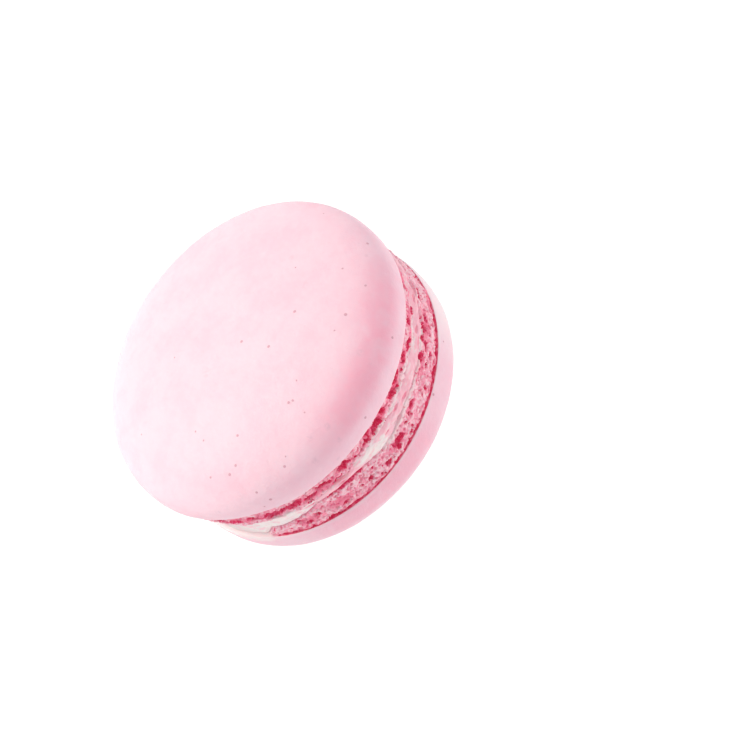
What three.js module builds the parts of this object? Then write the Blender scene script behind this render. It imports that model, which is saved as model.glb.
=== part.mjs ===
import * as THREE from 'three';

// A macaron lying flat on its lower shell: two baked almond shells, each one a smooth cap
// with a ruffled foot, and a thin layer of cream that runs through between them.
// Millimetres, +Z up, origin under the middle of the macaron, on the surface it rests on.
// Azimuths are in degrees: 0 looks out along -Y, and they grow towards +X.

// Driving dimensions
const SHELL_RADIUS = 22;
const TOTAL_HEIGHT = 24.8;
const CREAM_BOTTOM = 12.35;
const CREAM_TOP = 13.4;
const CREAM_RADIUS = 21.5;
const REST_RADIUS = 6;

// The shells weren't pressed together quite true: the lower one lies this far off the
// middle towards +X, and the upper one as far towards -X
const SHIFT = 0.24;

// A shell is measured in depth, from its flat face next to the cream out to its dome:
// where its foot ends, where the cap's lower edge is, and where the cap is widest.
// Its foot flares out or tapers in by that edge, with a groove between the two.
const UPPER_SHELL = {
  face: CREAM_TOP,
  side: 1,
  depth: TOTAL_HEIGHT - CREAM_TOP,
  footRadius: 21.35,
  footDepth: 2.95,
  rimDepth: 3.12,
  rimSetback: 0.35,
  widestDepth: 3.5,
  flare: -0.3,
  groove: 0.2,
  crag: 0.5,
  cavities: 52,
  seed: 3,
};
const LOWER_SHELL = {
  face: CREAM_BOTTOM,
  side: -1,
  depth: CREAM_BOTTOM,
  footRadius: 21.4,
  footDepth: 4.2,
  rimDepth: 4.45,
  rimSetback: 0.3,
  widestDepth: 6.6,
  flare: 0.2,
  groove: 0.5,
  crag: 0.35,
  cavities: 72,
  seed: 11,
};

// The cap's section is a rounded square: a flat top that turns over a full shoulder
const CAP_ROUNDNESS = 2.47;
const CAP_FLATNESS = 2.92;
const CAP_ANGLES = [7, 15, 25, 37, 50, 63, 75];
const LIP_SETBACK = 0.06;
const RIM_WAVE = 0.06;
const GROOVE_MARGIN = 0.02;

// The foot starts set back at the face, where the cream laps over its edge
const FACE_RADIUS = 20.2;
const EDGE_RADIUS = 20.6;
const EDGE_DEPTH = 0.35;
const FOOT_STEP = 0.5;

// Relief of the foot: lumps all over it, and burst bubbles that reach in deeper
const LUMPS_AROUND = 46;
const LUMP_DEPTH = 1.3;
const CAVITY_RADIUS = [0.6, 1.2];
const CAVITY_INSET = [0.5, 1.1];
const CAVITY_FROM_FACE = 0.9;
const CAVITY_FROM_RIM = 0.15;
const CAVITY_SHARPNESS = 1.5;

// The cream's edge: how far it laps over each foot, with spills where it has run further
const LAP = 0.15;
const LAP_WAVE = 0.08;
const LAP_WAVES_AROUND = 30;
const SWELL = 0.1;
const SWELLS_AROUND = 24;
const LIP_INNER_RADIUS = 20.95;
const LIP_ROUNDING = 0.25;
const LIP_CLEARANCE = 0.3;
const SPILLS = [
  { side: -1, azimuth: -72, halfWidth: 10, fade: 20, length: 3.6 },
  { side: -1, azimuth: -52, halfWidth: 4, fade: 24, length: 2.2 },
  { side: -1, azimuth: 1, halfWidth: 1, fade: 14, length: 1.1 },
  { side: 1, azimuth: 2, halfWidth: 6, fade: 12, length: 0.4 },
  { side: 1, azimuth: 24, halfWidth: 6, fade: 12, length: 0.45 },
  { side: 1, azimuth: 118, halfWidth: 6, fade: 16, length: 0.6 },
  { side: -1, azimuth: 164, halfWidth: 7, fade: 14, length: 1.1 },
  { side: -1, azimuth: -142, halfWidth: 4, fade: 12, length: 0.7 },
];

const SEGMENTS = 132;

function makeMaterial(color, roughness) {
  return new THREE.MeshStandardMaterial({ color, roughness, metalness: 0 });
}

// Repeatable number from 0 to 1 for one corner of a lattice
function corner(column, row, seed) {
  const wave = Math.sin(column * 127.1 + row * 311.7 + seed * 74.7) * 43758.5453;
  return wave - Math.floor(wave);
}

// Eases from 0 to 1 as t does
function smooth(t) {
  const clamped = Math.min(Math.max(t, 0), 1);
  return clamped * clamped * (3 - 2 * clamped);
}

function mix(a, b, t) {
  return a + (b - a) * t;
}

// Smooth noise from -1 to 1 that closes on itself around the macaron
function ringNoise(azimuth, height, around, seed) {
  const turn = (((azimuth / 360) % 1) + 1) % 1;
  const column = Math.floor(turn * around);
  const row = Math.floor(height);
  const across = smooth(turn * around - column);
  const left = column % around;
  const right = (column + 1) % around;
  const below = mix(corner(left, row, seed), corner(right, row, seed), across);
  const above = mix(corner(left, row + 1, seed), corner(right, row + 1, seed), across);
  return 2 * mix(below, above, smooth(height - row)) - 1;
}

function angleBetween(a, b) {
  const turn = Math.abs(a - b) % 360;
  return Math.min(turn, 360 - turn);
}

// How far the cream laps over the foot of the shell on one side, at an azimuth
function lapOver(side, azimuth) {
  let spilled = 0;
  for (const spill of SPILLS) {
    const beyond = angleBetween(azimuth, spill.azimuth) - spill.halfWidth;
    const reach = spill.length * (1 - smooth(beyond / spill.fade));
    if (spill.side === side) spilled = Math.max(spilled, reach);
  }
  return LAP + LAP_WAVE * ringNoise(azimuth, 0, LAP_WAVES_AROUND, 5 + side) + spilled;
}

// Burst bubbles, spread evenly around the foot with a seeded jitter, more of them near the rim
function footCavities(shell) {
  const cavities = [];
  for (let i = 0; i < shell.cavities; i += 1) {
    const draw = (row) => corner(i, row, shell.seed);
    cavities.push({
      azimuth: ((i + draw(1)) / shell.cavities) * 360,
      depth: mix(CAVITY_FROM_FACE, shell.footDepth - CAVITY_FROM_RIM, Math.sqrt(draw(2))),
      radius: mix(...CAVITY_RADIUS, draw(3)),
      inset: mix(...CAVITY_INSET, draw(4)),
    });
  }
  return cavities;
}

// Outline of a shell from the middle of its face to the middle of its dome
function shellProfile(shell) {
  const { footRadius: foot, footDepth, rimDepth, widestDepth, depth } = shell;
  const outline = [
    [0, 0],
    [FACE_RADIUS, 0],
    [EDGE_RADIUS, EDGE_DEPTH],
  ];
  const steps = Math.round((footDepth - EDGE_DEPTH) / FOOT_STEP);
  for (let i = 1; i <= steps; i += 1) {
    const t = i / steps;
    outline.push([foot + shell.flare * t ** 3, mix(EDGE_DEPTH, footDepth, t)]);
  }
  outline.push([foot + shell.flare - shell.groove, (footDepth + rimDepth) / 2]);
  outline.push([SHELL_RADIUS - shell.rimSetback, rimDepth]);
  outline.push([SHELL_RADIUS - LIP_SETBACK, (rimDepth + widestDepth) / 2]);
  outline.push([SHELL_RADIUS, widestDepth]);
  for (const degrees of CAP_ANGLES) {
    const angle = THREE.MathUtils.degToRad(degrees);
    const radius = SHELL_RADIUS * Math.cos(angle) ** (2 / CAP_ROUNDNESS);
    const rise = (depth - widestDepth) * Math.sin(angle) ** (2 / CAP_FLATNESS);
    outline.push([radius, widestDepth + rise]);
  }
  outline.push([REST_RADIUS, depth]);
  outline.push([0, depth]);
  return outline;
}

// Radius of the craggy foot at a place on it, kept clear of the cream that laps over it
function footRadius(shell, cavities, radius, azimuth, depth) {
  let relief = shell.crag * ringNoise(azimuth, depth / LUMP_DEPTH, LUMPS_AROUND, shell.seed);
  for (const cavity of cavities) {
    const along = THREE.MathUtils.degToRad(angleBetween(azimuth, cavity.azimuth)) * radius;
    const reach = Math.hypot(along, depth - cavity.depth) / cavity.radius;
    relief -= cavity.inset * Math.exp(-CAVITY_SHARPNESS * reach * reach);
  }
  const craggy = radius + relief * smooth(depth / FOOT_STEP - EDGE_DEPTH);
  const clear = Math.min(craggy, LIP_INNER_RADIUS - LIP_CLEARANCE);
  const pastLip = depth - lapOver(shell.side, azimuth) - LIP_CLEARANCE;
  return mix(clear, craggy, smooth(pastLip / FOOT_STEP));
}

// Turns an outline of [radius, height] pairs about Z and moves each point of it by a rule,
// which also says how far it goes along with the upper shell's shift, from -1 to 1
function lathe(outline, place) {
  const points = outline.map(([radius, height]) => new THREE.Vector2(radius, height));
  const geometry = new THREE.LatheGeometry(points, SEGMENTS);
  geometry.rotateX(Math.PI / 2);
  const position = geometry.attributes.position;
  for (let i = 0; i < position.count; i += 1) {
    const x = position.getX(i);
    const y = position.getY(i);
    const radius = Math.hypot(x, y);
    const azimuth = THREE.MathUtils.radToDeg(Math.atan2(x, -y));
    const placed = place(radius, azimuth, position.getZ(i));
    const scale = radius > 0 ? placed.radius / radius : 0;
    position.setXYZ(i, x * scale - SHIFT * placed.shift, y * scale, placed.height);
  }
  geometry.computeVertexNormals();
  return geometry;
}

function makeShell(shell) {
  const cavities = footCavities(shell);
  const outline = shellProfile(shell).map(([radius, depth]) => [radius, shell.side * depth]);
  if (shell.side < 0) outline.reverse();
  const isFace = (depth) => depth < EDGE_DEPTH / 2;
  const isFoot = (depth) => depth < shell.footDepth + GROOVE_MARGIN;
  const isRim = (depth) => depth < (shell.rimDepth + shell.widestDepth) / 2 - LIP_SETBACK;
  return lathe(outline, (radius, azimuth, signedDepth) => {
    let depth = Math.abs(signedDepth);
    let moved = radius;
    if (!isFace(depth) && isFoot(depth)) {
      moved = footRadius(shell, cavities, radius, azimuth, depth);
    } else if (!isFace(depth) && isRim(depth)) {
      depth += RIM_WAVE * ringNoise(azimuth, 0, LUMPS_AROUND, shell.seed + 1);
    }
    return { radius: moved, height: shell.face + shell.side * depth, shift: shell.side };
  });
}

// The cream is a disc whose rounded edge laps up and down over the feet
function makeFilling() {
  const half = (CREAM_TOP - CREAM_BOTTOM) / 2;
  const flatRadius = LIP_INNER_RADIUS - 0.1;
  const roundRadius = CREAM_RADIUS - LIP_ROUNDING;
  const lip = half + LAP;
  const outline = [
    [0, -half],
    [flatRadius, -half],
    [LIP_INNER_RADIUS, -lip],
    [roundRadius, -lip],
    [CREAM_RADIUS, -half / 2],
    [CREAM_RADIUS, half / 2],
    [roundRadius, lip],
    [LIP_INNER_RADIUS, lip],
    [flatRadius, half],
    [0, half],
  ];
  return lathe(outline, (radius, azimuth, fromMiddle) => {
    const side = Math.sign(fromMiddle);
    const atEdge = radius > (LIP_INNER_RADIUS + roundRadius) / 2;
    const onLip = Math.abs(fromMiddle) > (half + lip) / 2;
    const overhang = onLip ? half + lapOver(side, azimuth) : Math.abs(fromMiddle);
    const swell = atEdge ? SWELL * ringNoise(azimuth, 0, SWELLS_AROUND, 8) : 0;
    return {
      radius: radius + swell,
      height: CREAM_BOTTOM + half + side * overhang,
      shift: Math.max(-1, Math.min(1, fromMiddle / half)),
    };
  });
}

function addPiece(group, name, geometry, material) {
  const mesh = new THREE.Mesh(geometry, material);
  mesh.name = name;
  group.add(mesh);
}

const shellPink = makeMaterial('#f6c3d0', 0.75);
const creamWhite = makeMaterial('#f3e3df', 0.5);

const macaron = new THREE.Group();
addPiece(macaron, 'upper_shell', makeShell(UPPER_SHELL), shellPink);
addPiece(macaron, 'filling', makeFilling(), creamWhite);
addPiece(macaron, 'lower_shell', makeShell(LOWER_SHELL), shellPink);

export default macaron;
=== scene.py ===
import math

import bpy
import numpy as np
from mathutils import Matrix, Vector
from mathutils.bvhtree import BVHTree


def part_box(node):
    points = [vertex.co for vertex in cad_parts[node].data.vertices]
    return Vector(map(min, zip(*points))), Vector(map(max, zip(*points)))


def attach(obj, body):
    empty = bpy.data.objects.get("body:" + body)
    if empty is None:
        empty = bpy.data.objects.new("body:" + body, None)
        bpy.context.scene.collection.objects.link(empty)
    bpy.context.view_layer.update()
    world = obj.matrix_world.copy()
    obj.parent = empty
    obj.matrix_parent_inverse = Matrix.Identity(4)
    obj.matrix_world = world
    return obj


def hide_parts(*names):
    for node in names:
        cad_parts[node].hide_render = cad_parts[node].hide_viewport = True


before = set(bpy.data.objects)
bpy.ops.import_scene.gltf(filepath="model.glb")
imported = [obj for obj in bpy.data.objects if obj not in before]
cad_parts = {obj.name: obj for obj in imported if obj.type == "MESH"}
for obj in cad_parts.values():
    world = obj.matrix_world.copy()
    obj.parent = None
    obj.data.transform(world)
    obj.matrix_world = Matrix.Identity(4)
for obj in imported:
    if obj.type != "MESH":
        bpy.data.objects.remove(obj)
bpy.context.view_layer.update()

# A pink macaron lying flat on its lower shell: smooth baked caps, craggy feet full of burst
# bubbles, and a layer of pale cream that laps over the edges of both feet.
# Metres, +Z up; sizes named here are in millimetres. Azimuths are in degrees: 0 looks out
# along -Y, and they grow towards +X. Depth is measured from a shell's flat face to its dome.

MM = 0.001

# Sizes taken from the frame
LOWER_LOW, LOWER_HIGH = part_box("lower_shell")
UPPER_LOW, UPPER_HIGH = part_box("upper_shell")
SHELL_RADIUS = (UPPER_HIGH.x - UPPER_LOW.x) / 2 / MM
CREAM_BOTTOM = LOWER_HIGH.z / MM
CREAM_TOP = UPPER_LOW.z / MM
TOTAL_HEIGHT = UPPER_HIGH.z / MM
SHIFT = (LOWER_LOW.x + LOWER_HIGH.x) / 2 / MM

# The shells
FACE_RADIUS = 20.7
EDGE_DEPTH = 0.35
CAP_ROUNDNESS = 2.47
CAP_FLATNESS = 2.92
SEGMENTS = 880
FOOT_STEP = 0.09
RIM_STEPS = 12
DOME_STEPS = 42
DOME_SPACING = 1.15
CRAG_START = 0.25
UPPER_SHELL = {
    "node": "upper_shell",
    "side": 1,
    "face": CREAM_TOP,
    "depth": TOTAL_HEIGHT - CREAM_TOP,
    "foot_radius": 21.35,
    "foot_depth": 2.95,
    "rim_depth": 3.12,
    "rim_setback": 0.35,
    "widest_depth": 3.5,
    "flare": -0.3,
    "groove": 0.2,
    "seed": 3.0,
}
LOWER_SHELL = {
    "node": "lower_shell",
    "side": -1,
    "face": CREAM_BOTTOM,
    "depth": CREAM_BOTTOM,
    "foot_radius": 21.4,
    "foot_depth": 4.2,
    "rim_depth": 4.45,
    "rim_setback": 0.3,
    "widest_depth": 6.6,
    "flare": 0.2,
    "groove": 0.5,
    "seed": 11.0,
}

# Burst bubbles that can be told apart in the photo: azimuth, height above the floor,
# half length and half height
UPPER_BUBBLES = [
    (-59.7, 14.4, 2.2, 0.5), (-56.2, 14.3, 0.9, 0.4), (-48.6, 14.7, 1.1, 0.45),
    (-50.6, 13.2, 0.5, 0.25), (-40.5, 14.5, 1.7, 0.5), (-34.5, 14.5, 1.6, 0.5),
    (-42.6, 13.8, 0.8, 0.35), (-32, 14.8, 0.8, 0.45), (-27, 14.4, 1, 0.35), (-28.5, 13.6, 0.5, 0.25),
    (-21.9, 14.9, 0.8, 0.35), (-19.4, 14.6, 0.5, 0.4), (-16.9, 13.8, 0.7, 0.35), (-11.7, 15, 1, 0.45),
    (-23.5, 13.3, 0.3, 0.2), (-7.9, 14.5, 0.35, 0.25), (-4.6, 14.6, 0.25, 0.2), (-1.2, 14.7, 0.7, 0.35),
    (0.6, 15.4, 0.35, 0.35), (5.1, 14.9, 1, 0.5), (9.4, 15.3, 0.5, 0.35), (2.6, 14.5, 0.5, 0.3),
    (8.8, 13.7, 0.3, 0.25), (16.4, 15, 0.9, 0.45), (21.1, 15.3, 1.1, 0.25), (18.6, 14.6, 0.5, 0.25),
    (24.5, 14.8, 0.3, 0.2), (28.7, 15, 0.9, 0.35), (34.5, 14.5, 0.9, 0.35), (42.4, 14.8, 0.7, 0.3),
    (47.4, 14.1, 0.6, 0.25), (57.3, 14.5, 0.9, 0.3),
]
LOWER_BUBBLES = [
    (-17.6, 12.1, 2.6, 0.25), (-22.6, 12.1, 0.8, 0.3), (-39.7, 10.2, 0.4, 0.25),
    (-37.5, 9.2, 0.45, 0.35), (-32.5, 10.3, 0.4, 0.35), (-8.6, 10.8, 0.25, 0.18),
    (-11.6, 9.5, 0.35, 0.35), (-15.1, 9.7, 0.2, 0.25), (-3.8, 9.2, 0.5, 0.4), (3.7, 10, 1.1, 0.5),
    (2.4, 9.2, 0.4, 0.4), (9.9, 10.6, 0.3, 0.25), (15.9, 11.1, 0.55, 0.3), (12.9, 10.7, 0.3, 0.2),
    (8.4, 8.7, 0.3, 0.2), (10.4, 9.1, 0.2, 0.35), (20.6, 9.9, 0.3, 0.2), (23.5, 9.6, 0.3, 0.3),
    (31.5, 11.8, 0.8, 0.4), (30.5, 10.4, 0.4, 0.25), (36.5, 11, 0.7, 0.3), (39, 11.8, 0.5, 0.35),
    (43.1, 11.6, 0.7, 0.5), (47.1, 11.1, 0.8, 0.5), (34.5, 10, 0.3, 0.25), (45.1, 10.2, 0.5, 0.3),
    (-8.1, 8.7, 0.2, 0.2), (-22.6, 9.3, 0.5, 0.3), (-46.5, 8.0, 2.2, 0.3), (-35, 7.9, 1, 0.3),
    (-29.5, 8.2, 0.7, 0.3), (30.3, 8.5, 0.8, 0.3), (36.5, 8.4, 0.8, 0.2), (42, 8.0, 1, 0.25),
    (49.6, 8.5, 1.2, 0.35), (57.7, 11.5, 0.9, 0.35),
]
BUBBLE_REACH = 1.35

# Past this azimuth, either way, the photo doesn't show the feet and bubbles come by chance
SEEN_AZIMUTH = 60
SEEN_FADE = 14

# Stretches of the feet painted rose as shade, mostly under the cap's rim and next to the groove, given
# in the same way
UPPER_FOOT_SHADES = [
    (-50, 14.6, 4.5, 0.7), (-42, 14.5, 3.6, 0.9), (-32, 14.6, 3.2, 0.8), (-24, 14.4, 2, 0.6),
    (-19, 14.3, 1.8, 0.8), (-11, 14.9, 1.8, 0.5), (2, 14.9, 2.2, 0.6), (9, 15.2, 1.6, 0.5),
    (18, 15, 2.2, 0.5), (29, 14.9, 1.8, 0.5), (35, 14.4, 1.8, 0.5), (45, 14.6, 2.4, 0.6),
    (62, 14.1, 3.5, 0.8),
]
LOWER_FOOT_SHADES = [
    (-44, 8.1, 4.5, 0.7), (-31, 8.0, 4, 0.5), (-36, 9.7, 2.2, 0.9), (-23, 10, 2.2, 0.9),
    (-13, 8.1, 3.5, 0.35), (-18, 12.1, 3.4, 0.3), (3, 9.9, 1.8, 0.7), (15, 11, 1.6, 0.5),
    (17, 8.3, 3, 0.4), (29, 11.6, 2.2, 0.7), (30, 8.5, 3, 0.5), (45, 11.1, 3.2, 1), (44, 8.5, 3, 0.6),
    (58, 8.7, 3.5, 0.9),
]

# The cream's edge, and the foot drawn back behind it
CREAM_RADIUS = 21.42
CREAM_EDGE_RADIUS = 20.9
CREAM_EDGE_INSET = 0.1
CREAM_EDGE_ROWS = 45
CREAM_SQUARENESS = 2.5
COVERED_RADIUS = 20.75
COVERED_FADE = 0.3

# How far the cream laps over each foot all round, and where it has run further
LAP = 0.12
LAP_WAVE = 0.12
SPILLS = [
    {"side": -1, "azimuth": -72, "half_width": 10, "fade": 20, "length": 5.4},
    {"side": -1, "azimuth": -52, "half_width": 4, "fade": 24, "length": 2.2},
    {"side": -1, "azimuth": 1, "half_width": 1, "fade": 14, "length": 1.1},
    {"side": 1, "azimuth": 2, "half_width": 6, "fade": 12, "length": 0.4},
    {"side": 1, "azimuth": 24, "half_width": 6, "fade": 12, "length": 0.45},
    {"side": 1, "azimuth": 50, "half_width": 8, "fade": 14, "length": 0.3},
    {"side": 1, "azimuth": 118, "half_width": 6, "fade": 16, "length": 0.6},
    {"side": -1, "azimuth": 164, "half_width": 7, "fade": 14, "length": 1.1},
    {"side": -1, "azimuth": -142, "half_width": 4, "fade": 12, "length": 0.7},
]

# Where the cream shows clean, as [azimuth, half width, fade]; elsewhere crumb stains it. Where
# it is smeared over the feet and over the groove, to what depth, and where painted shade darkens it
CLEAN_STRETCHES = [(-62, 20, 24), (-3, 2, 7), (150, 30, 25), (-140, 20, 25)]
SMEARED_FEET = (22, 18, 14)
FOOT_SMEAR_DEPTH = 1.3
FILLED_GROOVE = (-82, 25, 6)
CAP_SMEAR_DEPTH = 2.5
SHADED_CREAM_STRETCH = (-80, 12, 16)

# Folds in the cream: azimuth, height above the floor, half length and half height
CREASES = [
    (17, 12.8, 1.0, 0.25), (9, 12.2, 0.9, 0.2), (36.5, 12.7, 0.9, 0.25), (26, 12.3, 0.8, 0.2),
    (13, 13.4, 0.7, 0.2), (46, 12.4, 1.0, 0.3), (-30, 12.7, 1.0, 0.25), (-17, 12.9, 0.8, 0.2),
    (60, 12.6, 1.8, 0.35), (54, 13.0, 1.0, 0.2), (41, 13.1, 0.6, 0.2), (4, 12.7, 0.5, 0.15),
]

# Where the upper foot sags over the cream, and where each cap's edge lies higher than all
# round, as [azimuth, half width, fade], how far, and over which depths
SAGGING_FOOT = (-52, 20, 12)
SAG = 0.45
SAG_DEPTH = 1.5
LIFT_START = 2.5
LIFT_END = 4
RIM_LIFTS = {"upper_shell": ((-56, 12, 16), 0.5), "lower_shell": ((52, 14, 50), 0.45)}

# Where the skin is drawn lighter: round each cap's rim, a painted highlight over a slightly paler
# edge; on stretches of the lower cap, painted light; and on a stretch of both feet
RIM_HIGHLIGHT = 0.6
RIM_HIGHLIGHT_SHARE = 0.6
PAINTED_LIGHT_STRETCHES = [(82, 24, 26), (170, 30, 30)]
PALE_FEET = (68, 14, 22)

# Where painted shade darkens the pink, round the upper cap's shoulder and low on the lower cap:
# [azimuth, half width, fade] and [depth, half width, fade] on each shell, and how much
PAINTED_SHADE_STRETCHES = {
    "upper_shell": [((24, 18, 24), (7.0, 0.7, 1.8), 1.0)],
    "lower_shell": [((-12, 16, 20), (5.6, 1.2, 1.5), 0.8), ((-76, 8, 18), (6.0, 3.0, 2.0), 0.4)],
}

# Almond specks in the skin that the photo shows: its pixel, and a share of the full size
PHOTO_PIXELS = 750
SPECK_RADIUS = 0.19
SPECK_FLATNESS = 0.22
SPECKS = [
    (229, 474, 1.0), (268, 346, 1.0), (241, 341, 1.0), (270, 499, 1.0), (345, 314, 1.1),
    (392, 337, 0.9), (235, 465, 0.9), (288, 402, 0.9), (294, 311, 1.0), (284, 466, 0.9),
    (237, 435, 0.9), (292, 400, 0.8), (210, 477, 0.8), (256, 492, 0.8), (367, 243, 1.0),
    (365, 285, 0.8), (365, 417, 0.9), (342, 268, 0.7), (203, 440, 0.7), (195, 431, 0.7),
    (141, 434, 0.6), (295, 267, 0.6), (174, 357, 0.6), (334, 330, 0.6), (296, 380, 0.6),
    (304, 412, 0.6), (285, 456, 0.5), (264, 506, 0.6), (323, 213, 0.6), (433, 394, 1.0),
    (443, 341, 0.7),
]

# Faint darker spots in the skin: pixel and radius
DARK_SPOTS = [
    (206, 372, 0.9), (291, 257, 0.5), (304, 284, 0.7), (360, 352, 0.6), (369, 361, 0.5),
    (327, 426, 0.6), (315, 461, 0.8), (338, 458, 0.4), (309, 438, 0.5), (339, 439, 0.5),
    (218, 512, 0.6), (366, 255, 0.4), (322, 282, 0.4),
]

# The camera stands where the photo's camera stood relative to the macaron, rolled with it
CAMERA_PLACE = Vector((-0.07, -94.3, 106.47)) * MM
CAMERA_FORWARD = Vector((0.0533, 0.6465, -0.7610))
CAMERA_UP = Vector((0.8110, 0.4167, 0.4110))
LENS = 48.0
SENSOR = 36.0

# Colours, as linear red, green and blue
CAP_PINK = (0.905, 0.61, 0.70, 1)
CAP_BLUSH = (0.89, 0.50, 0.61, 1)
CAP_SHADE = (0.95, 0.42, 0.54, 1)
# Painted highlight and painted light on the cap
CAP_PALE_AND_LIT = (0.93, 0.79, 0.82, 1)
CAP_DARK_SPOT = (0.68, 0.43, 0.52, 1)
# Painted shade in the groove under the lower cap
GROOVE_SHADE_RED = (0.80, 0.035, 0.14, 1)
GROOVE_SHADE_ROSE = (0.90, 0.10, 0.24, 1)
FOOT_PALE = (0.96, 0.61, 0.68, 1)
FOOT_PINK = (0.94, 0.34, 0.46, 1)
# Rose and crimson paint shade into the feet's bubbles, pores and shaded stretches and into the cream's
# folds; rose also colours crumbs in the cream
ROSE = (0.90, 0.15, 0.28, 1)
CRIMSON = (0.80, 0.045, 0.155, 1)
CREAM_WHITE = (0.90, 0.77, 0.77, 1)
# Painted shade on one stretch of the cream
CREAM_PAINTED_SHADE = (0.74, 0.62, 0.61, 1)
CREAM_PINK = (0.96, 0.50, 0.59, 1)
SPECK_MAUVE = (0.70, 0.37, 0.45, 1)

# Light: a key from above and behind, low fills from the right and the front left, given as
# [azimuth, power], a weak sky, and the white ground that shines back up
KEY_TINT = (0.87, 1.0, 0.88)
KEY_POWER = 4.25
KEY_FROM = (-0.31, 0.42, 0.85)
KEY_SIZE = 0.35
FILL_TINT = (1.0, 1.0, 0.98)
FILL_SIZE = 0.4
FILL_HEIGHT = 8
RIGHT_FILL = (70, 1.35)
LEFT_FILL = (-35, 0.6)
LIGHT_DISTANCE = 0.6
SKY_TINT = (1.0, 0.78, 0.9, 1)
SKY_STRENGTH = 0.35
GLOW_TINT = (0.97, 1.0, 0.97, 1)
FLOOR_GLOW = 1.0
FLOOR_WHITE = (0.1, 0.1, 0.1, 1)
FLOOR_RADIUS = 2.0
FLOOR_SIDES = 48
WALL_HEIGHT = 0.35


def smooth(t):
    t = np.clip(t, 0, 1)
    return t * t * (3 - 2 * t)


def angle_between(a, b):
    turn = np.abs(np.asarray(a) - b) % 360
    return np.minimum(turn, 360 - turn)


def near(azimuth, centre, half_width, fade):
    """1 within half a width of an azimuth, easing to 0 over the fade beyond."""
    return 1 - smooth((angle_between(azimuth, centre) - half_width) / fade)


def cream_lap(side, azimuth):
    """How far the cream laps over the foot on one side, at an azimuth."""
    turn = np.radians(azimuth)
    wave = np.sin(5 * turn + side) + np.sin(13 * turn + 2 * side) + np.sin(29 * turn)
    spilled = 0
    for spill in SPILLS:
        if spill["side"] == side:
            share = near(azimuth, spill["azimuth"], spill["half_width"], spill["fade"])
            spilled = np.maximum(spilled, spill["length"] * share)
    return LAP + LAP_WAVE * wave / 2 + spilled


def cream_stain(azimuth):
    """0 where the cream shows clean, 1 where the crumb has stained it."""
    clean = 0
    for stretch in CLEAN_STRETCHES:
        clean = np.maximum(clean, near(azimuth, *stretch))
    return 1 - clean


def add_object(name, data):
    thing = bpy.data.objects.new(name, data)
    bpy.context.scene.collection.objects.link(thing)
    return thing


# Camera


def place_camera():
    data = bpy.data.cameras.new("camera")
    data.lens = LENS
    data.sensor_width = SENSOR
    data.clip_start = 1 * MM
    camera = add_object("camera", data)
    forward = CAMERA_FORWARD.normalized()
    right = forward.cross(CAMERA_UP).normalized()
    up = right.cross(forward)
    turn = Matrix((right, up, -forward)).transposed()
    camera.matrix_world = Matrix.Translation(CAMERA_PLACE) @ turn.to_4x4()
    bpy.context.scene.camera = camera
    return camera


def seen_places(camera, shells, pixels):
    """The nearest place and normal that each of the photo's pixels shows on the shells."""
    graph = bpy.context.evaluated_depsgraph_get()
    surfaces = [BVHTree.FromObject(shell, graph) for shell in shells]
    places = []
    for x, y in pixels:
        across = ((x + 0.5) / PHOTO_PIXELS - 0.5) * SENSOR
        down = ((y + 0.5) / PHOTO_PIXELS - 0.5) * SENSOR
        ray = camera.matrix_world.to_3x3() @ Vector((across, -down, -LENS))
        hits = [surface.ray_cast(camera.location, ray) for surface in surfaces]
        nearest = min((hit for hit in hits if hit[0] is not None), key=lambda hit: hit[3])
        places.append((nearest[0], nearest[1]))
    return places


# Node trees


class Tree:
    """Adds nodes to a node tree and links them, for materials and Geometry Nodes alike."""

    def __init__(self, tree):
        self.tree = tree

    def add(self, kind, inputs=None, **settings):
        node = self.tree.nodes.new(kind)
        for key, value in settings.items():
            setattr(node, key, value)
        for key, value in (inputs or {}).items():
            self.put(value, node.inputs[key])
        return node

    def put(self, value, socket):
        if isinstance(value, bpy.types.NodeSocket):
            self.tree.links.new(value, socket)
        else:
            socket.default_value = value

    def math(self, operation, *values):
        inputs = dict(enumerate(values))
        return self.add("ShaderNodeMath", inputs, operation=operation).outputs[0]

    def total(self, *values):
        result = values[0]
        for value in values[1:]:
            result = self.math("ADD", result, value)
        return result

    def product(self, *values):
        result = values[0]
        for value in values[1:]:
            result = self.math("MULTIPLY", result, value)
        return result

    def vector(self, operation, *values, scale=None):
        node = self.add("ShaderNodeVectorMath", dict(enumerate(values)), operation=operation)
        if scale is not None:
            self.put(scale, node.inputs["Scale"])
        return node.outputs[0]

    def ease(self, value, low, high):
        """0 below low, 1 above high, and a smooth step between them."""
        inputs = {"Value": value, "From Min": low, "From Max": high}
        return self.add("ShaderNodeMapRange", inputs, interpolation_type="SMOOTHSTEP").outputs[0]

    def blend(self, share, first, second):
        """A colour between two others."""
        inputs = {"Factor": share, 6: first, 7: second}
        return self.add("ShaderNodeMix", inputs, data_type="RGBA").outputs[2]

    def noise(self, place, size, seed=0.0, detail=2.0):
        """Smooth noise around 0.5, with features of a size in the units of place."""
        scale = self.math("DIVIDE", 1.0, size)
        inputs = {"Vector": place, "W": seed, "Scale": scale, "Detail": detail}
        return self.add("ShaderNodeTexNoise", inputs, noise_dimensions="4D").outputs[0]

    def speckle(self, place, size, seed, share):
        """Fine noise at a share of its strength, which makes the edge of a patch ragged."""
        return self.product(self.noise(place, size, seed, 3.0), share)


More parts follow.
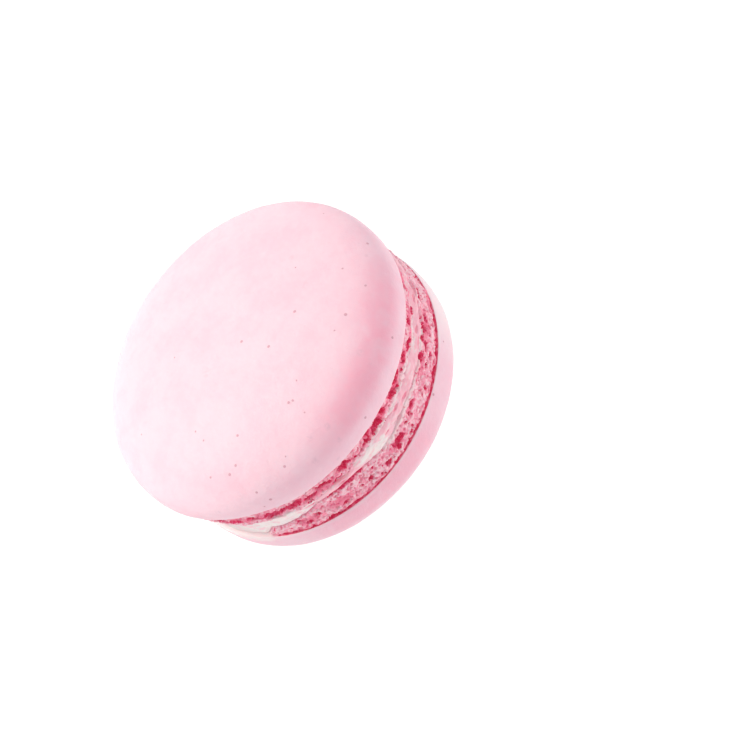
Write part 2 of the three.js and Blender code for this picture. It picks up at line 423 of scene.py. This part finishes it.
def geometry_group(name, sizes):
    """A Geometry Nodes group that takes a geometry, named sizes with defaults, and a material."""
    group = bpy.data.node_groups.new(name, "GeometryNodeTree")
    sockets = group.interface
    sockets.new_socket("Geometry", in_out="INPUT", socket_type="NodeSocketGeometry")
    for label, default in sizes.items():
        size = sockets.new_socket(label, in_out="INPUT", socket_type="NodeSocketFloat")
        size.default_value = default
    sockets.new_socket("Material", in_out="INPUT", socket_type="NodeSocketMaterial")
    sockets.new_socket("Geometry", in_out="OUTPUT", socket_type="NodeSocketGeometry")
    tree = Tree(group)
    return group, tree, tree.add("NodeGroupInput").outputs


def end_group(tree, geometry, material):
    """Ends a group in real geometry that wears its material."""
    whole = tree.add("GeometryNodeRealizeInstances", {"Geometry": geometry}).outputs[0]
    dressed = tree.add("GeometryNodeSetMaterial", {"Geometry": whole, "Material": material})
    tree.add("NodeGroupOutput", {0: dressed.outputs[0]})


def named_value(tree, name):
    inputs = {"Name": name}
    return tree.add("GeometryNodeInputNamedAttribute", inputs, data_type="FLOAT").outputs[0]


def store_value(tree, geometry, name, value):
    inputs = {"Geometry": geometry, "Name": name, "Value": value}
    return tree.add("GeometryNodeStoreNamedAttribute", inputs, data_type="FLOAT").outputs[0]


def apply_group(piece, group, values):
    """Runs a Geometry Nodes group on a piece and keeps the result as its plain mesh."""
    modifier = piece.modifiers.new(group.name, "NODES")
    modifier.node_group = group
    for item in group.interface.items_tree:
        if item.in_out == "INPUT" and item.name in values:
            modifier[item.identifier] = values[item.name]
    bpy.context.view_layer.update()
    evaluated = piece.evaluated_get(bpy.context.evaluated_depsgraph_get())
    mesh = bpy.data.meshes.new_from_object(evaluated)
    piece.modifiers.clear()
    piece.data = mesh
    mesh.name = piece.name


# Turned bodies


def ring_points(outline):
    """Radius, azimuth and height of every point on the rings of a turned outline."""
    radius, height = np.array(outline, float).T
    azimuth = np.arange(SEGMENTS) * 360 / SEGMENTS
    shape = (len(radius), SEGMENTS)
    azimuth = np.broadcast_to(azimuth, shape)
    radius = np.broadcast_to(radius[:, None], shape)
    height = np.broadcast_to(height[:, None], shape)
    return radius.copy(), azimuth.copy(), height.copy()


def turned_piece(name, radius, azimuth, height, shift, values):
    """A closed body from rings of points, bottom ring first, with a value per point and name.
    The rings go along with the upper shell's shift, by a share for each point."""
    turn = np.radians(azimuth)
    across = radius * np.sin(turn) - shift * SHIFT
    along = -radius * np.cos(turn)
    rings = np.stack([across, along, height], axis=2)
    poles = rings[[0, -1]].mean(axis=1)
    points = np.vstack([rings.reshape(-1, 3), poles]) * MM
    index = np.arange(radius.size).reshape(radius.shape)
    beside = np.roll(index, -1, axis=1)
    quads = np.stack([index[:-1], beside[:-1], beside[1:], index[1:]], axis=2).reshape(-1, 4)
    bottom = np.full(SEGMENTS, radius.size)
    start = np.stack([bottom, beside[0], index[0]], axis=1)
    end = np.stack([bottom + 1, index[-1], beside[-1]], axis=1)
    mesh = bpy.data.meshes.new(name)
    mesh.from_pydata(points.tolist(), [], quads.tolist() + start.tolist() + end.tolist())
    for label, value in values.items():
        flat = np.concatenate([value.ravel(), [value[0, 0], value[-1, 0]]])
        mesh.attributes.new(label, "FLOAT", "POINT").data.foreach_set("value", flat)
    mesh.shade_smooth()
    return add_object(name, mesh)


def shell_outline(shell):
    """Points of [radius, depth] from the face to the dome, with how craggy each one is and how much
    red painted shade it takes in the groove."""
    foot_radius, foot_depth, rim_depth = shell["foot_radius"], shell["foot_depth"], shell["rim_depth"]
    widest, depth, setback = shell["widest_depth"], shell["depth"], shell["rim_setback"]
    foot_end = foot_radius + shell["flare"]
    lip = SHELL_RADIUS - setback
    rows = [(FACE_RADIUS / 2, 0, 0, 0), (FACE_RADIUS, 0, 0, 0)]
    for d in np.arange(FOOT_STEP, foot_depth, FOOT_STEP):
        edge = (foot_radius - FACE_RADIUS) * (1 - smooth(d / EDGE_DEPTH)) ** 2
        flare = shell["flare"] * smooth(d / foot_depth) ** 2
        rows.append((foot_radius - edge + flare, d, float(smooth(d / CRAG_START)), 0))
    for t in np.linspace(0, 1, RIM_STEPS)[1:]:
        inset = shell["groove"] * math.sin(t * math.pi) ** 0.5
        down = foot_depth + (rim_depth - foot_depth) * t
        # Share of red painted shade in the groove
        red = float(smooth(t / 0.3) * (1 - 0.4 * smooth((t - 0.7) / 0.3)))
        rows.append((foot_end + (lip - foot_end) * t - inset, down, float(1 - t), red))
    for t in np.linspace(0, 1, RIM_STEPS)[1:]:
        angle = t * math.pi / 2
        rise = (widest - rim_depth) * (1 - math.cos(angle))
        rows.append((lip + setback * math.sin(angle), rim_depth + rise, 0, 0))
    for t in np.linspace(0, 1, DOME_STEPS)[1:-1]:
        angle = t**DOME_SPACING * math.pi / 2
        radius = SHELL_RADIUS * math.cos(angle) ** (2 / CAP_ROUNDNESS)
        rise = (depth - widest) * math.sin(angle) ** (2 / CAP_FLATNESS)
        rows.append((radius, widest + rise, 0, 0))
    return np.array(rows)


def bubble_field(bubbles, radius, azimuth, height):
    """1 in the middle of a marked bubble, falling to 0 a little outside its edge."""
    field = np.zeros(radius.shape)
    for centre, level, half_length, half_height in bubbles:
        along = np.radians(angle_between(azimuth, centre)) * radius / half_length
        across = (height - level) / half_height
        field = np.maximum(field, 1 - np.hypot(along, across) / BUBBLE_REACH)
    return field


def shell_height(shell, radius, azimuth, depth):
    """Height of each point, with the upper foot's sag and the lift of the cap's edge."""
    height = shell["face"] + shell["side"] * depth
    if shell["side"] > 0:
        sag = SAG * near(azimuth, *SAGGING_FOOT)
        height = height - sag * (1 - smooth(depth / SAG_DEPTH)) * (radius > FACE_RADIUS)
    stretch, lift = RIM_LIFTS[shell["node"]]
    past_rim = depth - shell["rim_depth"]
    at_rim = smooth(depth / LIFT_START) * (1 - smooth(past_rim / LIFT_END))
    return height + lift * near(azimuth, *stretch) * at_rim


def shell_pale_and_lit(shell, azimuth, depth, craggy):
    """How much lighter the cap and the foot are drawn, from 0 to 1: a painted highlight round the rim
    over a slightly paler edge, painted light on stretches of the lower cap, and paler crumb on a
    stretch of the feet.
    """
    past_rim = depth - shell["rim_depth"]
    # Painted highlight round the rim, over a slightly paler edge
    rim = (past_rim > 0) * (1 - smooth(past_rim / RIM_HIGHLIGHT))
    # Painted light on stretches of the lower cap
    pale_and_lit = sum(near(azimuth, *stretch) for stretch in PAINTED_LIGHT_STRETCHES) * (shell["side"] < 0)
    pale_and_lit = pale_and_lit * (1 - craggy) + near(azimuth, *PALE_FEET) * craggy
    return np.clip(pale_and_lit + RIM_HIGHLIGHT_SHARE * rim, 0, 1)


def shell_painted_shade(shell, azimuth, depth):
    """How much painted shade darkens the cap's pink, from 0 to 1."""
    painted_shade = np.zeros(depth.shape)
    for stretch, (level, half_width, fade), amount in PAINTED_SHADE_STRETCHES[shell["node"]]:
        at_level = 1 - smooth((np.abs(depth - level) - half_width) / fade)
        painted_shade = np.maximum(painted_shade, amount * at_level * near(azimuth, *stretch))
    return painted_shade


def shell_smear(shell, azimuth, depth, craggy):
    """How much cream is smeared over the foot, beside the layer, and over the lower groove."""
    past_cream = depth - cream_lap(shell["side"], azimuth)
    on_foot = (1 - smooth(past_cream / FOOT_SMEAR_DEPTH)) * craggy * near(azimuth, *SMEARED_FEET)
    past_rim = depth - shell["rim_depth"]
    on_cap = (1 - smooth(past_rim / CAP_SMEAR_DEPTH)) * (shell["side"] < 0)
    return np.maximum(on_foot, on_cap * near(azimuth, *FILLED_GROOVE))


def make_shell(shell, bubbles, foot_shades, relief):
    """One baked shell: a turned body with what its relief and its finish need at each point."""
    rows = shell_outline(shell)
    radius, azimuth, depth = ring_points(rows[:, :2])
    craggy = np.broadcast_to(rows[:, 2:3], radius.shape)
    groove = np.broadcast_to(rows[:, 3:4], radius.shape)
    height = shell_height(shell, radius, azimuth, depth)
    past_cream = depth - cream_lap(shell["side"], azimuth)
    covered = (1 - smooth((past_cream + COVERED_FADE) / COVERED_FADE)) * (craggy > 0)
    radius = radius + (np.minimum(radius, COVERED_RADIUS) - radius) * covered
    values = {
        "pale_and_lit": shell_pale_and_lit(shell, azimuth, depth, craggy),
        "painted_shade": shell_painted_shade(shell, azimuth, depth),
        "craggy": craggy * (1 - 0.6 * covered),
        "groove": groove * (1 - near(azimuth, *FILLED_GROOVE)),
        "depth": depth,
        "marked": bubble_field(bubbles, radius, azimuth, height),
        "foot_shade": bubble_field(foot_shades, radius, azimuth, height),
        "unseen": 1 - near(azimuth, 0, SEEN_AZIMUTH, SEEN_FADE),
        "smear": shell_smear(shell, azimuth, depth, craggy),
    }
    if shell["side"] < 0:
        radius, azimuth, height = radius[::-1], azimuth[::-1], height[::-1]
        values = {label: value[::-1] for label, value in values.items()}
    shift = np.full(radius.shape, float(shell["side"]))
    piece = turned_piece("baked_" + shell["node"], radius, azimuth, height, shift, values)
    apply_group(piece, relief, {"Foot Depth": shell["foot_depth"], "Seed": shell["seed"]})
    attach(piece, "root")
    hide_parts(shell["node"])
    return piece


def foot_relief():
    """Lumps, pores and burst bubbles of a baked foot, pushed in and out of its wall, and the
    slight unevenness of the cap."""
    sizes = {
        "Foot Depth": 4.0,
        "Lump Size": 1.6,
        "Lump Height": 0.8,
        "Grain Size": 0.45,
        "Grain Height": 0.5,
        "Rag Size": 0.4,
        "Bubble Size": 0.8,
        "Bubble Inset": 0.7,
        "Pore Size": 0.3,
        "Pore Inset": 0.25,
        "Cap Wave Size": 7.0,
        "Cap Wave Height": 0.25,
        "Seed": 0.0,
    }
    group, tree, given = geometry_group("foot_relief", sizes)
    position = tree.add("GeometryNodeInputPosition").outputs[0]
    place = tree.vector("SCALE", position, scale=1 / MM)
    craggy = named_value(tree, "craggy")
    marked = named_value(tree, "marked")
    unseen = named_value(tree, "unseen")
    toward_rim = tree.math("DIVIDE", named_value(tree, "depth"), given["Foot Depth"])

    def noise(size, layer, detail=2.0):
        seed = tree.math("ADD", given["Seed"], 10.0 * layer)
        return tree.noise(place, given[size], seed, detail)

    def around_zero(value):
        return tree.math("SUBTRACT", value, 0.5)

    ragged = tree.product(around_zero(noise("Rag Size", 1, 3.0)), 1.5)
    seen = tree.total(marked, ragged)
    seen_hole = tree.ease(seen, 0.2, 0.5)
    bias = tree.product(tree.ease(toward_rim, 0.3, 1.0), 0.1)
    chance = tree.total(noise("Bubble Size", 2, 1.5), bias)
    hole = tree.product(tree.ease(chance, 0.60, 0.67), unseen)
    pore = tree.ease(noise("Pore Size", 3, 0.5), 0.57, 0.66)
    burst = tree.product(tree.math("MAXIMUM", seen_hole, hole), craggy)
    pricked = tree.product(pore, craggy)

    lumps = tree.product(around_zero(noise("Lump Size", 4)), given["Lump Height"])
    grain = tree.product(around_zero(noise("Grain Size", 5, 3.0)), given["Grain Height"])
    inset = tree.total(
        tree.product(burst, given["Bubble Inset"]),
        tree.product(pricked, given["Pore Inset"]),
    )
    foot_push = tree.product(tree.math("SUBTRACT", tree.total(lumps, grain), inset), craggy)
    outward = tree.vector("NORMALIZE", tree.vector("MULTIPLY", position, (1, 1, 0)))
    foot_offset = tree.vector("SCALE", outward, scale=tree.product(foot_push, MM))

    cap = tree.math("SUBTRACT", 1.0, craggy)
    cap_push = tree.product(around_zero(noise("Cap Wave Size", 6, 3.0)), given["Cap Wave Height"], cap)
    normal = tree.add("GeometryNodeInputNormal").outputs[0]
    cap_offset = tree.vector("SCALE", normal, scale=tree.product(cap_push, MM))

    offset = tree.vector("ADD", foot_offset, cap_offset)
    # Painted shade: the burst bubbles are marked here for crimson and rose in the finish
    red = tree.math("MAXIMUM", tree.ease(seen, 0.08, 0.34), hole)
    stored = store_value(tree, given["Geometry"], "burst", tree.product(red, craggy))
    stored = store_value(tree, stored, "pricked", pricked)
    moved = tree.add("GeometryNodeSetPosition", {"Geometry": stored, "Offset": offset}).outputs[0]
    end_group(tree, moved, given["Material"])
    return group


def make_cream(ripple, material):
    """The layer of cream: a disc whose rounded edge laps up and down over the feet."""
    middle = (CREAM_TOP + CREAM_BOTTOM) / 2
    half = (CREAM_TOP - CREAM_BOTTOM) / 2
    flat = CREAM_EDGE_RADIUS - CREAM_EDGE_INSET
    outline = [(flat / 2, -half), (flat, -half)]
    for t in np.linspace(-1, 1, CREAM_EDGE_ROWS):
        bulge = (1 - abs(t) ** CREAM_SQUARENESS) ** 0.5
        outline.append((CREAM_EDGE_RADIUS + (CREAM_RADIUS - CREAM_EDGE_RADIUS) * bulge, t))
    outline += [(flat, half), (flat / 2, half)]
    radius, azimuth, height = ring_points(outline)
    at_edge = radius > (flat + CREAM_EDGE_RADIUS) / 2
    # The edge's rows run from -1 to 1, which is stretched to the lap below and the lap above
    reach = half + np.where(height < 0, cream_lap(-1, azimuth), cream_lap(1, azimuth))
    height = middle + np.where(at_edge, height * reach, height)
    values = {
        "soft": at_edge.astype(float),
        "stain": cream_stain(azimuth),
        "painted_cream_shade": near(azimuth, *SHADED_CREAM_STRETCH),
        "crease": bubble_field(CREASES, radius, azimuth, height),
    }
    shift = np.clip((height - middle) / half, -1, 1)
    piece = turned_piece("cream_layer", radius, azimuth, height, shift, values)
    apply_group(piece, ripple, {"Material": material})
    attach(piece, "root")
    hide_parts("filling")


def cream_ripple():
    """Soft ripples along the edge of the cream."""
    sizes = {
        "Ripple Size": 1.8,
        "Ripple Height": 0.45,
        "Grain Size": 0.5,
        "Grain Height": 0.25,
        "Crease Depth": 0.15,
        "Seed": 5.0,
    }
    group, tree, given = geometry_group("cream_ripple", sizes)
    position = tree.add("GeometryNodeInputPosition").outputs[0]
    place = tree.vector("SCALE", position, scale=1 / MM)
    push = 0.0
    for label in ("Ripple", "Grain"):
        wave = tree.math("SUBTRACT", tree.noise(place, given[label + " Size"], given["Seed"]), 0.5)
        push = tree.total(tree.product(wave, given[label + " Height"]), push)
    folded = tree.ease(named_value(tree, "crease"), 0.1, 0.6)
    push = tree.math("SUBTRACT", push, tree.product(folded, given["Crease Depth"]))
    outward = tree.vector("NORMALIZE", tree.vector("MULTIPLY", position, (1, 1, 0)))
    amount = tree.product(push, named_value(tree, "soft"), MM)
    offset = tree.vector("SCALE", outward, scale=amount)
    moved = tree.add("GeometryNodeSetPosition", {"Geometry": given["Geometry"], "Offset": offset})
    end_group(tree, moved.outputs[0], given["Material"])
    return group


# Materials


def new_material(name, **settings):
    material = bpy.data.materials.new(name)
    material.use_nodes = True
    tree = Tree(material.node_tree)
    shader = material.node_tree.nodes["Principled BSDF"]
    for label, value in settings.items():
        shader.inputs[label.replace("_", " ")].default_value = value
    return material, tree, shader


def object_place(tree):
    """Object coordinates in millimetres."""
    place = tree.add("ShaderNodeTexCoord").outputs["Object"]
    return tree.vector("SCALE", place, scale=1 / MM)


def attribute(tree, name):
    return tree.add("ShaderNodeAttribute", attribute_name=name).outputs["Fac"]


def add_bump(tree, shader, height, distance, strength):
    inputs = {"Height": height, "Distance": distance * MM, "Strength": strength}
    tree.put(tree.add("ShaderNodeBump", inputs).outputs[0], shader.inputs["Normal"])


def shell_material(dark_spots):
    """Baked almond meringue: a matte pink skin and a rosy crumb, with crimson painted shade in the
    bubbles.
    """
    material, tree, shader = new_material(
        "baked_almond_shell",
        Roughness=0.62,
        Subsurface_Weight=0.25,
        Subsurface_Radius=(1.0, 0.35, 0.4),
        Subsurface_Scale=0.8 * MM,
        Specular_IOR_Level=0.3,
    )
    place = object_place(tree)
    cap = cap_colour(tree, place, dark_spots)
    skin = tree.blend(attribute(tree, "craggy"), cap, crumb_colour(tree, place))
    grooved = groove_shade_colour(tree, place, smeared_colour(tree, place, skin))
    # Painted shade: crimson and rose inside the burst bubbles
    bubble_shade = tree.blend(tree.ease(tree.noise(place, 0.3, 11.0, 3.0), 0.45, 0.65), CRIMSON, ROSE)
    broken = tree.total(attribute(tree, "burst"), tree.speckle(place, 0.22, 12.0, 1.0))
    colour = tree.blend(tree.ease(broken, 0.75, 1.15), grooved, bubble_shade)
    tree.put(colour, shader.inputs["Base Color"])
    unevenness = tree.total(tree.speckle(place, 0.25, 3.0, 0.03), tree.speckle(place, 1.6, 8.0, 0.12))
    add_bump(tree, shader, unevenness, 1.0, 1.0)
    return material


def crumb_colour(tree, place):
    """The foot's crumb: light and rosy in turn, with rose painted shade on stretches and in its pores.
    """
    patches = tree.ease(tree.noise(place, 0.4, 1.0, 3.0), 0.4, 0.6)
    crumb = tree.blend(patches, FOOT_PALE, FOOT_PINK)
    crumb = tree.blend(tree.product(attribute(tree, "pale_and_lit"), 0.5), crumb, FOOT_PALE)
    # Painted shade: rose on the shaded stretches of the foot
    foot_shade = tree.total(attribute(tree, "foot_shade"), tree.speckle(place, 0.35, 2.0, 1.6))
    shaded_crumb = tree.blend(tree.product(tree.ease(foot_shade, 0.9, 1.45), 0.75), crumb, ROSE)
    # Painted shade: rose in the pores
    return tree.blend(tree.product(attribute(tree, "pricked"), 0.65), shaded_crumb, ROSE)


def smeared_colour(tree, place, skin):
    """The skin with a thin, broken smear of cream over it."""
    smear = tree.total(attribute(tree, "smear"), tree.speckle(place, 0.7, 2.0, 0.9))
    return tree.blend(tree.product(tree.ease(smear, 0.85, 1.4), 0.7), skin, CREAM_WHITE)


def groove_shade_colour(tree, place, skin):
    """The skin with uneven red painted shade, ragged at its edge, in the groove under the cap."""
    uneven = tree.ease(tree.noise(place, 0.7, 15.0, 3.0), 0.35, 0.65)
    red = tree.blend(uneven, GROOVE_SHADE_RED, GROOVE_SHADE_ROSE)
    groove_shaded = tree.total(attribute(tree, "groove"), tree.speckle(place, 0.5, 16.0, 0.8))
    return tree.blend(tree.ease(groove_shaded, 0.7, 1.15), skin, red)


def cap_colour(tree, place, dark_spots):
    """The skin's pink: faintly mottled, lighter along the rim with a painted highlight over a slightly
    paler edge, and darker in streaks of painted shade at the shoulder.
    """
    mottle = tree.total(tree.noise(place, 5.0, 6.0, 2.0), tree.speckle(place, 1.1, 7.0, 0.6))
    cap = tree.blend(tree.product(tree.ease(mottle, 0.6, 1.05), 0.45), CAP_PINK, CAP_BLUSH)
    # Painted shade: streaks that darken the pink towards the shade colour in a band at the shoulder
    streaks = tree.noise(tree.vector("MULTIPLY", place, (1, 1, 0.5)), 1.7, 13.0, 4.0)
    painted_shade = tree.product(attribute(tree, "painted_shade"), tree.ease(streaks, 0.0, 0.75))
    cap = tree.blend(tree.product(painted_shade, 0.8), cap, CAP_SHADE)
    blotches = tree.ease(tree.noise(place, 0.45, 17.0, 3.0), 0.4, 0.6)
    # Faint darker spots, drawn towards a greyer pink
    for middle, radius in dark_spots:
        inputs = {0: place, 1: middle}
        away = tree.add("ShaderNodeVectorMath", inputs, operation="DISTANCE").outputs["Value"]
        share = tree.math("SUBTRACT", 1.0, tree.ease(away, 0.2 * radius, radius))
        cap = tree.blend(tree.product(share, blotches, 0.35), cap, CAP_DARK_SPOT)
    # Painted light and painted highlight: lighter round the rim and on stretches of the lower cap
    return tree.blend(tree.product(attribute(tree, "pale_and_lit"), 0.8), cap, CAP_PALE_AND_LIT)


def cream_material():
    """Whipped cream, off-white, stained pink here and there by the crumb beside it, with rose painted
    shade in its folds and greyer painted shade on one stretch.
    """
    material, tree, shader = new_material(
        "pale_cream",
        Roughness=0.45,
        Subsurface_Weight=0.3,
        Subsurface_Radius=(1.0, 0.6, 0.5),
        Subsurface_Scale=1.0 * MM,
    )
    place = object_place(tree)
    along = tree.vector("MULTIPLY", place, (0.8, 0.8, 1.8))
    stain = attribute(tree, "stain")
    patches = tree.total(tree.noise(along, 0.9, 4.0, 4.0), tree.product(stain, 0.2))
    # Painted shade: on one stretch the clean cream is darkened towards a greyer colour
    clean = tree.blend(attribute(tree, "painted_cream_shade"), CREAM_WHITE, CREAM_PAINTED_SHADE)
    stained = tree.blend(tree.ease(patches, 0.46, 0.7), clean, CREAM_PINK)
    # Painted shade: the folds are coloured rose
    ragged = tree.product(tree.noise(along, 0.45, 9.0, 4.0), 1.7)
    creased = tree.total(attribute(tree, "crease"), ragged)
    folded = tree.product(tree.ease(creased, 1.0, 1.5), 0.6)
    crumbs = tree.product(tree.ease(tree.noise(along, 0.3, 14.0, 2.0), 0.62, 0.72), stain)
    flecked = tree.math("MAXIMUM", folded, tree.product(crumbs, 0.45))
    tree.put(tree.blend(flecked, stained, ROSE), shader.inputs["Base Color"])
    add_bump(tree, shader, tree.noise(place, 0.3, 5.0), 0.03, 0.4)
    return material


# Specks


def speck_scatter():
    """Flat almond specks on given points, turned to the skin there."""
    group, tree, given = geometry_group("speck_scatter", {"Speck Radius": 0.15, "Flatness": 0.3})
    ball = tree.add("GeometryNodeMeshIcoSphere", {"Radius": 1.0, "Subdivisions": 2}).outputs[0]
    normal = tree.add("GeometryNodeInputNamedAttribute", {"Name": "skin"}, data_type="FLOAT_VECTOR")
    turn = tree.add("FunctionNodeAlignRotationToVector", {"Vector": normal.outputs[0]}, axis="Z")
    radius = tree.product(given["Speck Radius"], named_value(tree, "share"), MM)
    shape = tree.add("ShaderNodeCombineXYZ", {"X": 1.0, "Y": 1.0, "Z": given["Flatness"]}).outputs[0]
    size = tree.vector("SCALE", shape, scale=radius)
    inputs = {"Points": given["Geometry"], "Instance": ball, "Rotation": turn.outputs[0], "Scale": size}
    placed = tree.add("GeometryNodeInstanceOnPoints", inputs).outputs[0]
    end_group(tree, placed, given["Material"])
    return group


def make_specks(places, shares, scatter, material):
    mesh = bpy.data.meshes.new("almond_specks")
    mesh.from_pydata([place for place, _ in places], [], [])
    skin = np.array([tuple(normal) for _, normal in places]).ravel()
    mesh.attributes.new("skin", "FLOAT_VECTOR", "POINT").data.foreach_set("vector", skin)
    mesh.attributes.new("share", "FLOAT", "POINT").data.foreach_set("value", shares)
    piece = add_object("almond_specks", mesh)
    sizes = {"Speck Radius": SPECK_RADIUS, "Flatness": SPECK_FLATNESS, "Material": material}
    apply_group(piece, scatter, sizes)
    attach(piece, "root")


def speck_material():
    material, _, shader = new_material("almond_speck", Roughness=0.7)
    shader.inputs["Base Color"].default_value = SPECK_MAUVE
    return material


# Stage


def make_floor():
    """A round white floor that turns up into a low wall, so that no horizon shows."""
    turns = np.arange(FLOOR_SIDES) * 2 * math.pi / FLOOR_SIDES
    ring = [(FLOOR_RADIUS * math.cos(turn), FLOOR_RADIUS * math.sin(turn)) for turn in turns]
    corners = [(x, y, height) for height in (0, WALL_HEIGHT) for x, y in ring]
    faces = [tuple(range(FLOOR_SIDES))]
    for side in range(FLOOR_SIDES):
        beside = (side + 1) % FLOOR_SIDES
        faces.append((beside, side, side + FLOOR_SIDES, beside + FLOOR_SIDES))
    mesh = bpy.data.meshes.new("floor")
    mesh.from_pydata(corners, [], faces)
    floor = add_object("floor", mesh)
    material, _, shader = new_material("white_floor", Roughness=0.9)
    shader.inputs["Base Color"].default_value = FLOOR_WHITE
    shader.inputs["Emission Color"].default_value = GLOW_TINT
    shader.inputs["Emission Strength"].default_value = FLOOR_GLOW
    mesh.materials.append(material)


def area_light(name, direction, size, power, tint):
    data = bpy.data.lights.new(name, "AREA")
    data.energy = power
    data.size = size
    data.color = tint
    light = add_object(name, data)
    place = Vector(direction).normalized() * LIGHT_DISTANCE
    light.location = place
    light.rotation_mode = "QUATERNION"
    light.rotation_quaternion = place.to_track_quat("Z", "Y")


def light_scene():
    area_light("key_light", KEY_FROM, KEY_SIZE, KEY_POWER, KEY_TINT)
    for name, (azimuth, power) in {"right_fill": RIGHT_FILL, "left_fill": LEFT_FILL}.items():
        turn = math.radians(azimuth)
        direction = (math.sin(turn), -math.cos(turn), math.tan(math.radians(FILL_HEIGHT)))
        area_light(name, direction, FILL_SIZE, power, FILL_TINT)
    world = bpy.data.worlds.new("studio")
    bpy.context.scene.world = world
    world.use_nodes = True
    background = world.node_tree.nodes["Background"]
    background.inputs["Color"].default_value = SKY_TINT
    background.inputs["Strength"].default_value = SKY_STRENGTH
    bpy.context.scene.view_settings.view_transform = "Standard"


camera = place_camera()
make_floor()
light_scene()
relief = foot_relief()
upper = make_shell(UPPER_SHELL, UPPER_BUBBLES, UPPER_FOOT_SHADES, relief)
lower = make_shell(LOWER_SHELL, LOWER_BUBBLES, LOWER_FOOT_SHADES, relief)
spotted = seen_places(camera, [upper, lower], [spot[:2] for spot in DARK_SPOTS])
dark_spots = [(place / MM, radius) for (place, _), (_, _, radius) in zip(spotted, DARK_SPOTS)]
shell_finish = shell_material(dark_spots)
for shell in (upper, lower):
    shell.data.materials.clear()
    shell.data.materials.append(shell_finish)
make_cream(cream_ripple(), cream_material())
specked = seen_places(camera, [upper, lower], [speck[:2] for speck in SPECKS])
make_specks(specked, [share for _, _, share in SPECKS], speck_scatter(), speck_material())
